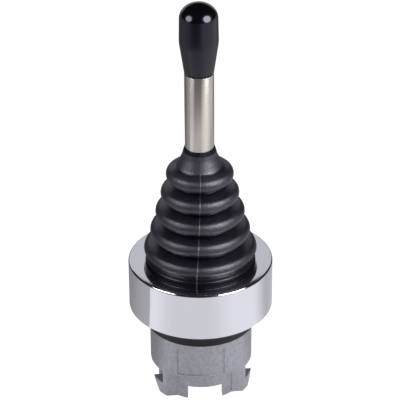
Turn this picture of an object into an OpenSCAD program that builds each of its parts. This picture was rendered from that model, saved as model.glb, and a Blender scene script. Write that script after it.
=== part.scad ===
// Joystick operator head for a 22 mm panel hole: a sprung lever that swings left and right
// and presses one of two plungers on the underside.
// The origin is on the panel's front face, on the axis of the hole, with the lever along +Z.

/* [Knob] */
// Diameter of the knob at its widest
knob_d = 7.7; // [7.6:0.02:12]
// Diameter of the knob where its dome starts
dome_d = 7.52; // [7.2:0.02:12]
// Height of the knob, with its dome
knob_h = 14.55; // [13:0.05:24]
// Height of the knob's domed top
dome_h = 3.1; // [2:0.05:5]
// Diameter of the knob's foot, above its bevel
knob_foot_d = 5.86; // [5.82:0.02:7]
// Height of the bevel at the knob's foot
knob_foot_h = 0.45; // [0.3:0.05:1]
// How far the bevel cuts in at the knob's foot
knob_foot_cut = 0.15; // [0.1:0.05:0.3]
// Height of the knob's widest place above its foot
knob_taper_h = 6.65; // [3:0.05:8]
// Wall of the brass insert round the stud
insert_wall = 0.6; // [0.4:0.05:0.8]
// Length of the brass insert
insert_h = 6.5; // [4:0.1:8]
// Height of the brass insert above the knob's foot
insert_rise = 2.9; // [2.6:0.1:4]

/* [Lever rod] */
// Diameter of the lever rod
rod_d = 5.8; // [5:0.05:5.85]
// Length of rod that shows between the boot and the knob
rod_shown = 16.1; // [8:0.05:40]
// Diameter of the stud that carries the knob
stud_d = 4; // [3:0.1:4.2]
// Swing of the lever to each side, in degrees
lever_swing = 20; // [10:1:22]

/* [Boot] */
// Number of folds
fold_count = 5; // [3:1:7]
// Height from one fold to the next
fold_pitch = 4.22; // [4:0.02:4.4]
// Radius of the folds' round edges
fold_r = 1.5; // [1.3:0.05:1.7]
// How much farther out each fold stands than the one above it
fold_step = 1.1; // [0.9:0.02:1.2]
// Diameter over the top fold
top_fold_d = 13.45; // [13:0.05:15]
// How far the bottom fold stands out past the skirt
fold_overhang = 0.47; // [0.2:0.01:0.6]
// How far inside the folds' middles the valleys lie
valley_depth = 0.6; // [0.3:0.05:0.9]
// How far the valleys' flat flanks run into the round edges
flank_sink = 0.03; // [0.02:0.01:0.06]
// Thickness of the rubber at the bottom of a valley
valley_wall = 1.5; // [1.2:0.05:1.7]
// Wall of the rubber
boot_wall = 1; // [0.8:0.05:1.2]
// Height of the collar above the middle of the top fold
collar_h = 6; // [5:0.05:8]
// Diameter of the collar at the foot of its bevelled lip
collar_d = 6.55; // [6.4:0.05:7]
// Height of the collar's bevelled lip
collar_lip_h = 0.75; // [0.4:0.05:1]
// Width of the rubber at the top of the lip
collar_lip_w = 0.1; // [0.05:0.05:0.2]
// Diameter of the collar where it runs into the top fold
collar_base_d = 8.2; // [7.4:0.1:9]
// Height of the collar's inner bead
bead_h = 1; // [0.6:0.1:1.4]
// Depth of the rod's groove that the bead sits in
bead_depth = 0.45; // [0.2:0.05:0.6]
// Height of the bottom fold's middle above the bezel's top
skirt_rise = 2.7; // [2.4:0.1:4]
// Thickness of the boot's clamped flange
boot_flange_t = 1.4; // [1:0.1:2]

/* [Bezel] */
// Diameter of the bezel
bezel_d = 29.2; // [28.8:0.1:32]
// Height of the bezel
bezel_h = 10.3; // [9.6:0.1:14]
// Wall of the bezel
bezel_wall = 1.2; // [0.8:0.05:1.4]
// Width of the bezel's flat top, from its edge to the boot's skirt
top_w = 3.72; // [3.4:0.02:4.2]
// Thickness of the bezel's top
top_t = 1.8; // [1.4:0.1:2.4]
// Radius of the rounded rim
rim_r = 0.4; // [0.2:0.05:0.6]
// Chamfer at the bezel's foot
bezel_chamfer = 0.25; // [0.1:0.05:0.5]

/* [Panel gasket] */
// Thickness of the gasket's flange
gasket_t = 1.2; // [0.8:0.1:2]
// How far the gasket's flange stands inside the bezel's edge
gasket_inset = 1.4; // [1:0.1:1.8]
// Diameter of the neck that centres in the panel hole
neck_d = 22.4; // [22:0.05:22.4]
// Height of the neck below the panel's face
neck_h = 2.85; // [2:0.05:4]

/* [Body] */
// Diameter of the body behind the panel
body_d = 20.9; // [20.4:0.05:21.6]
// Depth of the body behind the panel's face
body_depth = 17.3; // [17:0.1:20]
// Depth of the full-width barrel behind the panel's face
barrel_depth = 11.6; // [11.4:0.1:12.2]
// Angle from the front at which the flattened front and back start, in degrees
flat_angle = 49.6; // [46:0.2:54]
// How far the front and back are flattened at their middle
flat_depth = 1.3; // [0.9:0.05:1.4]
// Diameter of the tube below the barrel
tube_d = 17.7; // [17.2:0.05:18]
// Bore that takes the cradle
bore_d = 16; // [15.8:0.05:16.2]
// Bore below the cradle
lower_bore_d = 14.8; // [14.6:0.05:15]
// Width of the front and back slots
slot_w = 7.1; // [5:0.1:8]
// Height of the front and back slots
slot_h = 3; // [2:0.1:4]
// Height of the bayonet lugs
lug_h = 2.7; // [2:0.1:3.2]
// Half distance between the flat outer faces of a pair of lugs
lug_face = 6.9; // [6.8:0.05:7.2]
// Half distance between the inner edges of the lugs, left to right
lug_inner = 5.6; // [5.4:0.05:6]
// Half distance between the ends of the grooves above the lugs
groove_half = 6; // [5.6:0.1:6.2]
// Half gap between the hooked tips of two lugs
lug_tip = 2.7; // [2:0.1:3.4]
// How far a lug's end slopes back towards its foot
lug_slope = 2.37; // [1:0.05:2.6]
// Height of the chamfer between barrel and tube
chamfer_h = 2.5; // [1.5:0.1:2.6]
// Width of the nameplate recess
plate_w = 9.6; // [6:0.1:10]
// Distance of the nameplate recess's middle to the left of the body's middle
plate_left = 0.9; // [0:0.1:1.5]
// Height of the nameplate recess
plate_h = 6.1; // [4:0.1:6.4]
// Depth of the nameplate recess below the panel's face, at its top edge
plate_top = 5.1; // [4.4:0.1:5.4]
// Depth of the nameplate recess into the wall
plate_sink = 0.15; // [0.1:0.05:0.3]

/* [Mechanism] */
// Depth of the pivot below the panel's face
pivot_depth = 3.6; // [3.2:0.1:4]
// Diameter of the pivot pin
pin_d = 2.5; // [2:0.1:2.6]
// Wall of the rocker's bush
bush_wall = 0.5; // [0.4:0.05:0.6]
// Wall of the rocker's hub round the bush
hub_wall = 0.85; // [0.7:0.05:0.95]
// Wall of the rocker's socket round the rod
socket_wall = 0.73; // [0.6:0.01:0.8]
// Metal left between the bush and the foot of the rod
socket_floor = 0.6; // [0.4:0.1:1]
// Diameter of the spring pin through socket and rod
rod_pin_d = 1.5; // [1:0.1:1.6]
// Reach of the rocker's noses from the pivot
nose_reach = 5.2; // [5.1:0.05:5.3]
// Radius of the rocker's noses
nose_r = 1.1; // [0.9:0.05:1.2]
// Width of the rocker's arms
arm_w = 3.2; // [2:0.1:3.6]
// Thickness of the rocker's arms
arm_t = 1.5; // [1.1:0.1:1.8]
// Thickness of the thrust washers
washer_t = 0.5; // [0.3:0.05:0.6]
// Width of the thrust washers' ring
washer_w = 1.1; // [0.8:0.05:1.2]
// Diameter of a plunger's stem
stem_d = 2.3; // [2:0.05:2.4]
// Diameter of a plunger's head
head_d = 3.8; // [3.7:0.05:3.9]
// Thickness of a plunger's head
head_t = 1; // [0.7:0.05:1.2]
// Height of the plungers' tips above the body's foot
tip_rise = 1.93; // [1.85:0.01:2.1]
// Wire of the return springs
wire_d = 0.4; // [0.3:0.02:0.44]
// Turns of the return springs
spring_turns = 5; // [4:1:6]
// Room for a return spring between cradle floor and plunger head
spring_room = 4.24; // [4.1:0.02:4.3]
// Depth of the spring's seat in the cradle floor
spring_seat = 0.4; // [0.2:0.05:0.6]
// Thickness of the cradle's floor
floor_t = 2; // [1.8:0.05:2.1]
// Width of the cradle's keys
key_w = 2; // [1.2:0.1:2.6]
// How far the cradle's keys stand out
key_out = 0.7; // [0.4:0.05:0.9]
// Thickness of the gate plate
gate_t = 1.2; // [1:0.1:1.6]
// How far the gate plate's seat reaches past the bore
gate_seat = 1.6; // [1.2:0.1:2]
// Thickness of the boot's clamp ring
clamp_t = 0.9; // [0.6:0.1:1.2]
// How far the clamp ring covers the gate plate
clamp_cover = 0.8; // [0.5:0.1:1]
// Diameter of the gate's dowels
dowel_d = 1.2; // [1:0.1:1.4]
// Depth of the gate's dowels in the cradle
dowel_sink = 2; // [1.5:0.1:2.4]
// Outer diameter of the plungers' clips
clip_d = 3.8; // [3.2:0.05:3.9]
// Thickness of the plungers' clips
clip_t = 0.4; // [0.3:0.05:0.5]
// Depth of the clip's groove in a stem
clip_groove = 0.3; // [0.2:0.02:0.35]
// Height of the clip above a plunger's tip
clip_rise = 0.95; // [0.8:0.05:1.1]

/* [Clearances] */
// Radial gap of pressed and staked pieces
press_gap = 0.015; // [0.01:0.005:0.03]
// Radial gap of the bush on its pin
run_gap = 0.03; // [0.02:0.005:0.05]
// Radial gap of pieces that slide or drop in
slide_gap = 0.06; // [0.04:0.01:0.1]
// Gap between a nose and its plunger, for the curve of the nose's path
nose_gap = 0.07; // [0.05:0.01:0.1]
// Gap between the boot and the pieces that it seals against
boot_gap = 0.08; // [0.05:0.01:0.15]
// Gap between the bezel's top and the boot's skirt
skirt_gap = 0.15; // [0.1:0.05:0.3]
// Room between the swinging lever and the gate
gate_gap = 0.2; // [0.15:0.01:0.3]

/* [Hidden] */
$fn = 96;
over = 1;

rod_r = rod_d / 2;
stud_r = stud_d / 2;
insert_r = stud_r + press_gap + insert_wall;
collar_bore_r = rod_r + boot_gap;
groove_r = rod_r - bead_depth;
bezel_r = bezel_d / 2;
bezel_bore_r = bezel_r - bezel_wall;
skirt_r = bezel_r - top_w;
boot_flange_r = bezel_bore_r - boot_gap;
body_r = body_d / 2;
tube_r = tube_d / 2;
bore_r = bore_d / 2;
lower_bore_r = lower_bore_d / 2;
pin_r = pin_d / 2;
bush_r = pin_r + run_gap + bush_wall;
hub_r = bush_r + hub_wall;
socket_r = rod_r + press_gap + socket_wall;
rod_pin_r = rod_pin_d / 2;
stem_r = stem_d / 2;
head_r = head_d / 2;
clip_groove_r = stem_r - clip_groove;
gate_r = bore_r + gate_seat;
dowel_r = dowel_d / 2;

// Levels, from the panel's face upwards
bezel_top_z = gasket_t + bezel_h;
flange_z = bezel_top_z - top_t;
boot_foot_z = flange_z - boot_flange_t;
clamp_z = boot_foot_z - clamp_t;
gate_z = clamp_z - gate_t;
last_fold_z = bezel_top_z + skirt_rise;
first_fold_z = last_fold_z + (fold_count - 1) * fold_pitch;
collar_z = first_fold_z + collar_h;
bead_z = collar_z - collar_lip_h - 1.5 * bead_h;
knob_z = collar_z + rod_shown;
insert_z = knob_z + insert_rise;
insert_top_z = insert_z + insert_h;
dome_z = knob_z + knob_h - dome_h;
dome_step = 5;

// Levels, from the panel's face downwards
pivot_z = -pivot_depth;
rod_foot_z = pivot_z + bush_r + socket_floor;
socket_room = gate_z - gate_gap - pivot_z;
socket_h = (socket_room - socket_r * sin(lever_swing)) / cos(lever_swing);
rod_pin_z = (rod_foot_z + pivot_z + socket_h) / 2;
head_top_z = pivot_z - nose_r - nose_gap;
head_foot_z = head_top_z - head_t;
floor_top_z = head_foot_z - spring_room;
floor_foot_z = floor_top_z - floor_t;
tip_z = tip_rise - body_depth;
clip_z = tip_z + clip_rise;
cheek_y = socket_r + washer_t + 2 * slide_gap;
dowel_y = (cheek_y + bore_r - slide_gap) / 2;

// The flattened front and back are arcs through the barrel's corners at flat_angle
flat_chord = body_r * sin(flat_angle);
flat_rise = body_r - flat_depth - body_r * cos(flat_angle);
flat_r = (flat_chord * flat_chord + flat_rise * flat_rise) / (2 * flat_rise);
flat_shift = flat_r - (body_r - flat_depth);

// Middles of the folds' round edges, and the valleys below them; the top one runs into the collar
function fold_out(i) = i < fold_count - 1 ? top_fold_d / 2 + i * fold_step : skirt_r + fold_overhang;
function fold_x(i) = fold_out(i) - fold_r;
function fold_z(i) = first_fold_z - i * fold_pitch;
function valley(i, inset) = [
    i < 0 ? max(collar_base_d / 2 - inset, collar_bore_r)
        : (fold_x(i) + fold_x(i + 1)) / 2 - valley_depth - inset,
    fold_z(i) - fold_pitch / 2
];

// The point where a line from outside touches a circle, on the side that the sign gives
function touch(middle, r, point, side) =
    let (
        away = point - middle,
        turn = atan2(away.y, away.x) + side * acos(r / norm(away))
    )
    middle + r * [cos(turn), sin(turn)];

// Slot of the gate: the swung rod's width at the gate's top
gate_shift = (clamp_z - pivot_z) * tan(lever_swing);
gate_half_w = rod_r + gate_gap;
gate_half_l = gate_shift + rod_r / cos(lever_swing) + gate_gap;

// Coil of the return springs
spring_r = stem_r + slide_gap + wire_d;
spring_l = spring_room + spring_seat - 2 * press_gap;
closed_turns = 1;
closed_pitch = 1.05 * wire_d;
closed_rise = closed_turns * closed_pitch;
open_pitch = (spring_l - wire_d - 2 * closed_rise) / (spring_turns - 2 * closed_turns);
ring_steps = 16;
wire_sides = 8;

// A cylinder along Y, centred on the pivot's height
module cross_cylinder(r, l, x = 0, z = pivot_z) {
    translate([x, 0, z])
        rotate([90, 0, 0])
            cylinder(r = r, h = l, center = true);
}

// A cylinder between two heights
module level_cylinder(r, z0, z1) {
    translate([0, 0, z0])
        cylinder(r = r, h = z1 - z0);
}

// Plan of the barrel: round sides, flattened front and back
module barrel_plan() {
    intersection() {
        circle(r = body_r);
        translate([0, flat_shift])
            circle(r = flat_r);
        translate([0, -flat_shift])
            circle(r = flat_r);
    }
}

// Side view of one bayonet lug: a root up to the barrel and a tip that hooks over a groove
module lug_profile() {
    polygon([
        [-lug_face, -body_depth],
        [-lug_tip - lug_slope, -body_depth],
        [-lug_tip, lug_h - body_depth],
        [-groove_half, lug_h - body_depth],
        [-groove_half, -barrel_depth],
        [-lug_face, -barrel_depth]
    ]);
}

module lugs() {
    intersection() {
        level_cylinder(body_r, -body_depth, -barrel_depth);
        for (across = [0, 1], along = [0, 1])
            mirror([across, 0, 0])
                mirror([0, along, 0])
                    rotate([90, 0, 90])
                        translate([0, 0, lug_inner])
                            linear_extrude(body_r)
                                lug_profile();
    }
}

// Chamfer from the barrel to the tube, at the two sides between the lugs
module side_chamfer() {
    intersection() {
        translate([0, 0, -barrel_depth - chamfer_h])
            cylinder(r1 = tube_r, r2 = body_r, h = chamfer_h);
        translate([-body_r, -groove_half, -body_depth])
            cube([2 * body_r, 2 * groove_half, body_depth]);
    }
}

module body() {
    color("#8f9196")
    difference() {
        union() {
            level_cylinder(bezel_bore_r - press_gap, gasket_t, clamp_z);
            level_cylinder(body_r, -neck_h, gasket_t);
            translate([0, 0, -barrel_depth])
                linear_extrude(barrel_depth - neck_h)
                    barrel_plan();
            level_cylinder(tube_r, -body_depth, -barrel_depth);
            side_chamfer();
            lugs();
        }
        level_cylinder(lower_bore_r, -body_depth - over, floor_foot_z + over);
        level_cylinder(bore_r, floor_foot_z, gate_z + over);
        level_cylinder(gate_r + slide_gap, gate_z, clamp_z + over);
        translate([-bore_r - key_out - slide_gap, -key_w / 2 - slide_gap, floor_foot_z])
            cube([2 * (bore_r + key_out + slide_gap), key_w + 2 * slide_gap, gate_z + over - floor_foot_z]);
        translate([-slot_w / 2, -body_r - over, -body_depth - over])
            cube([slot_w, 2 * (body_r + over), slot_h + over]);
        translate([-plate_left - plate_w / 2, 0, -plate_top - plate_h])
            nameplate_recess();
    }
}

// Shallow pocket that follows the curve of the flattened front
module nameplate_recess() {
    intersection() {
        translate([0, -body_r - over, 0])
            cube([plate_w, body_r + over, plate_h]);
        translate([plate_w / 2 + plate_left, flat_shift, 0])
            difference() {
                cylinder(r = flat_r + over, h = plate_h);
                translate([0, 0, -over])
                    cylinder(r = flat_r - plate_sink, h = plate_h + 2 * over);
            }
    }
}

module bezel() {
    color("#d9dadd")
    rotate_extrude() {
        polygon([
            [bezel_bore_r, gasket_t],
            [bezel_r - bezel_chamfer, gasket_t],
            [bezel_r, gasket_t + bezel_chamfer],
            [bezel_r, bezel_top_z - rim_r],
            [bezel_r - rim_r, bezel_top_z],
            [skirt_r + skirt_gap, bezel_top_z],
            [skirt_r + skirt_gap, flange_z],
            [bezel_bore_r, flange_z]
        ]);
        translate([bezel_r - rim_r, bezel_top_z - rim_r])
            circle(r = rim_r);
    }
}

module panel_gasket() {
    color("#1b1d24")
    difference() {
        union() {
            level_cylinder(bezel_r - gasket_inset, 0, gasket_t);
            level_cylinder(neck_d / 2, -neck_h, 0);
        }
        level_cylinder(body_r + slide_gap, -neck_h - over, gasket_t + over);
    }
}

// Flat flanks of the folds, from the bottom fold's middle up to the collar, for round edges of one
// radius and valleys that lie deeper by an inset
function flanks(r, inset) = [
    for (i = [fold_count - 1:-1:0])
        let (
            middle = [fold_x(i), fold_z(i)],
            above = valley(i - 1, inset),
            below = valley(i, inset)
        )
        each concat(
            i < fold_count - 1 ? [touch(middle, r - flank_sink, below, 1)] : [],
            [middle, touch(middle, r - flank_sink, above, -1), above]
        )
];

module round_edges(r) {
    for (i = [0:fold_count - 1])
        translate([fold_x(i), fold_z(i)])
            circle(r = r);
}

// Outer half section of the boot: flange, skirt, folds and collar
module boot_outside() {
    polygon(concat(
        [
            [0, boot_foot_z],
            [boot_flange_r, boot_foot_z],
            [boot_flange_r, flange_z],
            [skirt_r, flange_z],
            [skirt_r, last_fold_z]
        ],
        flanks(fold_r, 0),
        [
            [collar_d / 2, collar_z - collar_lip_h],
            [collar_bore_r + collar_lip_w, collar_z],
            [0, collar_z]
        ]
    ));
    round_edges(fold_r);
}

// Inner half section of the boot: the skirt and the folds, one wall smaller, and the rod's bore
module boot_inside() {
    polygon(concat(
        [
            [0, boot_foot_z - over],
            [skirt_r - boot_wall, boot_foot_z - over],
            [skirt_r - boot_wall, last_fold_z]
        ],
        flanks(fold_r - boot_wall, valley_wall),
        [
            [collar_bore_r, bead_z],
            [groove_r + boot_gap, bead_z],
            [groove_r + boot_gap, bead_z + bead_h],
            [collar_bore_r, bead_z + bead_h],
            [collar_bore_r, collar_z + over],
            [0, collar_z + over]
        ]
    ));
    round_edges(fold_r - boot_wall);
}

module boot() {
    color("#26272d")
    rotate_extrude()
        difference() {
            boot_outside();
            boot_inside();
        }
}

module boot_clamp_ring() {
    color("#a9abb0")
    difference() {
        level_cylinder(bezel_bore_r - slide_gap, clamp_z, boot_foot_z);
        level_cylinder(gate_r - clamp_cover, clamp_z - over, boot_foot_z + over);
    }
}

module gate_plate() {
    color("#b4b6b8")
    difference() {
        level_cylinder(gate_r, gate_z, clamp_z);
        translate([0, 0, gate_z - over])
            linear_extrude(gate_t + 2 * over)
                gate_slot();
        for (side = [-1, 1])
            translate([0, side * dowel_y, 0])
                level_cylinder(dowel_r + slide_gap, gate_z - over, clamp_z + over);
    }
}

module gate_slot() {
    slot_reach = gate_half_l - gate_half_w;
    square([2 * slot_reach, 2 * gate_half_w], center = true);
    for (side = [-1, 1])
        translate([side * slot_reach, 0])
            circle(r = gate_half_w);
}

module gate_dowels() {
    color("#c9cacc")
    for (side = [-1, 1])
        translate([0, side * dowel_y, 0])
            level_cylinder(dowel_r, gate_z - dowel_sink, clamp_z - slide_gap);
}

module cradle() {
    color("#e4e0d2")
    difference() {
        union() {
            level_cylinder(bore_r - slide_gap, floor_foot_z, floor_top_z);
            translate([-bore_r - key_out, -key_w / 2, floor_foot_z])
                cube([2 * (bore_r + key_out), key_w, floor_t]);
            intersection() {
                level_cylinder(bore_r - slide_gap, floor_foot_z, gate_z);
                for (side = [0, 1])
                    mirror([0, side, 0])
                        translate([-bore_r, cheek_y, floor_foot_z])
                            cube([2 * bore_r, bore_r, gate_z - floor_foot_z]);
            }
        }
        cross_cylinder(pin_r + press_gap, 2 * (bore_r + over));
        for (side = [-1, 1]) {
            translate([side * nose_reach, 0, 0]) {
                level_cylinder(stem_r + slide_gap, floor_foot_z - over, floor_top_z + over);
                level_cylinder(spring_r + wire_d / 2 + slide_gap, floor_top_z - spring_seat, floor_top_z + over);
            }
            translate([0, side * dowel_y, 0])
                level_cylinder(dowel_r + press_gap, gate_z - dowel_sink - press_gap, gate_z + over);
        }
    }
}

module pivot_pin() {
    color("#c2c4c6")
    cross_cylinder(pin_r, 2 * (bore_r - 2 * slide_gap));
}

module thrust_washers() {
    color("#b9bbbd")
    difference() {
        for (side = [-1, 1])
            translate([0, side * (socket_r + slide_gap + washer_t / 2), 0])
                cross_cylinder(pin_r + slide_gap + washer_w, washer_t);
        cross_cylinder(pin_r + slide_gap, 2 * bore_r);
    }
}

module rocker() {
    color("#9b9da1")
    difference() {
        union() {
            cross_cylinder(hub_r, 2 * socket_r);
            level_cylinder(socket_r, pivot_z, pivot_z + socket_h);
            translate([-nose_reach, -arm_w / 2, pivot_z])
                cube([2 * nose_reach, arm_w, arm_t]);
            for (side = [-1, 1])
                cross_cylinder(nose_r, arm_w, x = side * nose_reach);
        }
        cross_cylinder(bush_r + press_gap, 2 * socket_r + over);
        level_cylinder(rod_r + press_gap, rod_foot_z, pivot_z + socket_h + over);
        cross_cylinder(rod_pin_r + press_gap, 2 * socket_r + over, z = rod_pin_z);
    }
}

module rocker_bush() {
    color("#b08d4f")
    difference() {
        cross_cylinder(bush_r, 2 * socket_r);
        cross_cylinder(pin_r + run_gap, 2 * socket_r + over);
    }
}

module rod_pin() {
    color("#85878b")
    cross_cylinder(rod_pin_r, 2 * (socket_r - slide_gap), z = rod_pin_z);
}

module lever_rod() {
    color("#a7a39b")
    difference() {
        union() {
            level_cylinder(rod_r, rod_foot_z, knob_z);
            level_cylinder(stud_r, knob_z, insert_top_z - insert_wall);
        }
        difference() {
            level_cylinder(rod_r + over, bead_z - boot_gap, bead_z + bead_h + boot_gap);
            level_cylinder(groove_r, bead_z - over, bead_z + bead_h + over);
        }
        cross_cylinder(rod_pin_r + press_gap, 2 * (rod_r + over), z = rod_pin_z);
    }
}

module knob() {
    color("#17181a")
    rotate_extrude()
        difference() {
            polygon(concat(
                [
                    [0, knob_z],
                    [knob_foot_d / 2 - knob_foot_cut, knob_z],
                    [knob_foot_d / 2, knob_z + knob_foot_h],
                    [knob_d / 2, knob_z + knob_taper_h]
                ],
                [for (t = [0:dome_step:90]) [dome_d / 2 * cos(t), dome_z + dome_h * sin(t)]]
            ));
            translate([-over, knob_z - over])
                square([over + stud_r + press_gap, insert_z + over - knob_z + over]);
            translate([-over, insert_z])
                square([over + insert_r + press_gap, insert_h]);
        }
}

module knob_insert() {
    color("#b5934c")
    difference() {
        level_cylinder(insert_r, insert_z, insert_top_z);
        level_cylinder(stud_r + press_gap, insert_z - over, insert_top_z - insert_wall + press_gap);
    }
}

module plunger(side) {
    translate([side * nose_reach, 0, 0])
        difference() {
            union() {
                level_cylinder(head_r, head_foot_z, head_top_z);
                level_cylinder(stem_r, tip_z + clip_groove, head_foot_z);
                translate([0, 0, tip_z])
                    cylinder(r1 = clip_groove_r, r2 = stem_r, h = clip_groove);
            }
            difference() {
                level_cylinder(stem_r + over, clip_z - press_gap, clip_z + clip_t + press_gap);
                level_cylinder(clip_groove_r, clip_z - over, clip_z + clip_t + over);
            }
        }
}

module plunger_left() {
    color("#d8d2c0") plunger(-1);
}

module plunger_right() {
    color("#d8d2c0") plunger(1);
}

// Open ring that snaps into a stem's groove, open towards the middle of the head
module plunger_clip(side) {
    clip_mouth = 2 * clip_groove_r;
    translate([side * nose_reach, 0, 0])
        difference() {
            level_cylinder(clip_d / 2, clip_z, clip_z + clip_t);
            level_cylinder(clip_groove_r + press_gap, clip_z - over, clip_z + clip_t + over);
            translate([side > 0 ? -clip_d : 0, -clip_mouth / 2, clip_z - over])
                cube([clip_d, clip_mouth, clip_t + 2 * over]);
        }
}

module plunger_clip_left() {
    color("#8c8f94") plunger_clip(-1);
}

module plunger_clip_right() {
    color("#8c8f94") plunger_clip(1);
}

// Height of the wire's middle after a number of turns: closed end turns, open turns between
function wire_z(turn) =
    floor_top_z - spring_seat + press_gap + wire_d / 2 + (
        turn < closed_turns ? closed_pitch * turn
        : turn > spring_turns - closed_turns
            ? spring_l - wire_d - closed_pitch * (spring_turns - turn)
        : closed_rise + open_pitch * (turn - closed_turns)
    );

// A point on the wire's surface: turn along the coil, angle round the wire
function wire_point(turn, angle) =
    let (reach = spring_r + wire_d / 2 * cos(angle))
    [reach * cos(360 * turn), reach * sin(360 * turn), wire_z(turn) + wire_d / 2 * sin(angle)];

module return_spring(side) {
    rings = spring_turns * ring_steps;
    points = [
        for (ring = [0:rings], corner = [0:wire_sides - 1])
            wire_point(ring / ring_steps, 360 * corner / wire_sides)
    ];
    walls = [
        for (ring = [0:rings - 1], corner = [0:wire_sides - 1])
            let (
                low = ring * wire_sides,
                next = (corner + 1) % wire_sides
            )
            [low + corner, low + next, low + wire_sides + next, low + wire_sides + corner]
    ];
    foot = [for (corner = [wire_sides - 1:-1:0]) corner];
    head = [for (corner = [0:wire_sides - 1]) rings * wire_sides + corner];
    translate([side * nose_reach, 0, 0])
        polyhedron(points, concat(walls, [foot], [head]));
}

module return_spring_left() {
    color("#b7b9bc") return_spring(-1);
}

module return_spring_right() {
    color("#b7b9bc") return_spring(1);
}

body();
bezel();
panel_gasket();
boot();
boot_clamp_ring();
gate_plate();
gate_dowels();
cradle();
pivot_pin();
thrust_washers();
rocker();
rocker_bush();
rod_pin();
lever_rod();
knob();
knob_insert();
plunger_left();
plunger_right();
plunger_clip_left();
plunger_clip_right();
return_spring_left();
return_spring_right();
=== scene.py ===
"""Joystick operator head for a 22 mm panel hole, dressed piece by piece in the order of assembly."""
import math
import bmesh
import bpy
from mathutils import Matrix, Vector


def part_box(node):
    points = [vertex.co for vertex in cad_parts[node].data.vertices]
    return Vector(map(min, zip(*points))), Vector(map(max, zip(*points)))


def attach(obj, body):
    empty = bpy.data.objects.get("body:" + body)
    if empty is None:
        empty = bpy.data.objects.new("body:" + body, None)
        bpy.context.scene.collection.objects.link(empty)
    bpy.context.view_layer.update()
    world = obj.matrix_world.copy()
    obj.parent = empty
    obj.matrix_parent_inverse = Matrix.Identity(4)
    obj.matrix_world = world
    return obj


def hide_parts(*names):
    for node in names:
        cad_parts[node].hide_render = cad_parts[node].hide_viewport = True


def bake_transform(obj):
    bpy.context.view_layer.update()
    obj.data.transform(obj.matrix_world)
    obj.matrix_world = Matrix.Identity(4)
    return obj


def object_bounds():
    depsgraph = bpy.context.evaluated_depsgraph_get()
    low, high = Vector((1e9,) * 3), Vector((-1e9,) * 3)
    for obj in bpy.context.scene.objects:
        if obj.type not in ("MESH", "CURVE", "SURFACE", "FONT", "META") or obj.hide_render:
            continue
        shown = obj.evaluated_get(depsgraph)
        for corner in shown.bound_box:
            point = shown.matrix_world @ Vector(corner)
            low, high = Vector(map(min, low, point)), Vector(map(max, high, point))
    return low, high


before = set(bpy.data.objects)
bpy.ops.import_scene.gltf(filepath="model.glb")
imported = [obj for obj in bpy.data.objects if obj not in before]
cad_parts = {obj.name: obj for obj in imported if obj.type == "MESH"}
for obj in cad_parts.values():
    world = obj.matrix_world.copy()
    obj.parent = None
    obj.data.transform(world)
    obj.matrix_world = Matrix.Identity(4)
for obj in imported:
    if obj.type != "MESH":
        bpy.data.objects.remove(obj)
cad_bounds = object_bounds()

# Camera: a long lens that looks down on the head, a little to the left of the body's front.
# Its place was found by laying the model's outline over the photograph's.
PHOTO_PX = 400
FOCAL_PX = 2014.5
SENSOR_MM = 36
NEAREST = 0.01
VIEW_DISTANCE = 0.4007
AIM = Vector((0, 0, 0.0249))
azimuth = math.radians(-5.6)
elevation = math.radians(30.14)
roll = math.radians(0.44)
back = Vector((
    math.sin(azimuth) * math.cos(elevation),
    -math.cos(azimuth) * math.cos(elevation),
    math.sin(elevation),
))
level_right = Vector((math.cos(azimuth), math.sin(azimuth), 0))
level_up = back.cross(level_right)
right = math.cos(roll) * level_right - math.sin(roll) * level_up
up = math.sin(roll) * level_right + math.cos(roll) * level_up
lens = bpy.data.cameras.new("camera")
lens.sensor_width = SENSOR_MM
lens.lens = SENSOR_MM * FOCAL_PX / PHOTO_PX
lens.clip_start = NEAREST
camera = bpy.data.objects.new("camera", lens)
facing = Matrix((right, up, back)).transposed().to_4x4()
camera.matrix_world = Matrix.Translation(AIM + back * VIEW_DISTANCE) @ facing
bpy.context.scene.collection.objects.link(camera)
bpy.context.scene.camera = camera
bpy.context.scene.view_settings.view_transform = "Standard"

# Floor: the frosted white acrylic sheet of a shooting table, on which the head stands.
# Light comes through the acrylic from below, so it is white all over and shows no shadow.

def linear(code):
    """Linear red, green, blue and alpha of an sRGB hex colour."""
    parts = [int(code[i:i + 2], 16) / 255 for i in (1, 3, 5)]
    return [c / 12.92 if c <= 0.04045 else ((c + 0.055) / 1.055) ** 2.4 for c in parts] + [1]


def add(tree, kind, inputs=(), **settings):
    """A new node with its settings, and its inputs set to values or linked to other nodes' outputs."""
    made = tree.nodes.new(kind)
    for name, value in settings.items():
        setattr(made, name, value)
    for socket, value in dict(inputs).items():
        if isinstance(value, bpy.types.NodeSocket):
            tree.links.new(value, made.inputs[socket])
        else:
            made.inputs[socket].default_value = value
    return made


def new_material(name):
    """An empty material's tree and its surface output."""
    material = bpy.data.materials.new(name)
    material.use_nodes = True
    material.node_tree.nodes.clear()
    return material, material.node_tree, material.node_tree.nodes.new("ShaderNodeOutputMaterial")


def new_piece(name, vertices, faces, material):
    """A mesh object at the origin, with one material."""
    mesh = bpy.data.meshes.new(name)
    mesh.from_pydata(vertices, [], faces)
    mesh.materials.append(material)
    piece = bpy.data.objects.new(name, mesh)
    bpy.context.scene.collection.objects.link(piece)
    return piece


FLOOR_HALF = 3.0
floor_z = cad_bounds[0].z
corners = [(-1, -1), (1, -1), (1, 1), (-1, 1)]
one_sheet = [(0, 1, 2, 3)]
white, tree, output = new_material("white acrylic sheet")
glow = add(tree, "ShaderNodeBsdfPrincipled", {
    "Base Color": linear("#8a8a8c"),
    "Roughness": 0.7,
    "Specular IOR Level": 0.2,
    "Emission Color": linear("#fdfdff"),
    "Emission Strength": 0.98,
})
tree.links.new(glow.outputs["BSDF"], output.inputs["Surface"])
floor_corners = [(x * FLOOR_HALF, y * FLOOR_HALF, floor_z) for x, y in corners]
floor = new_piece("floor", floor_corners, one_sheet, white)

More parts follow.
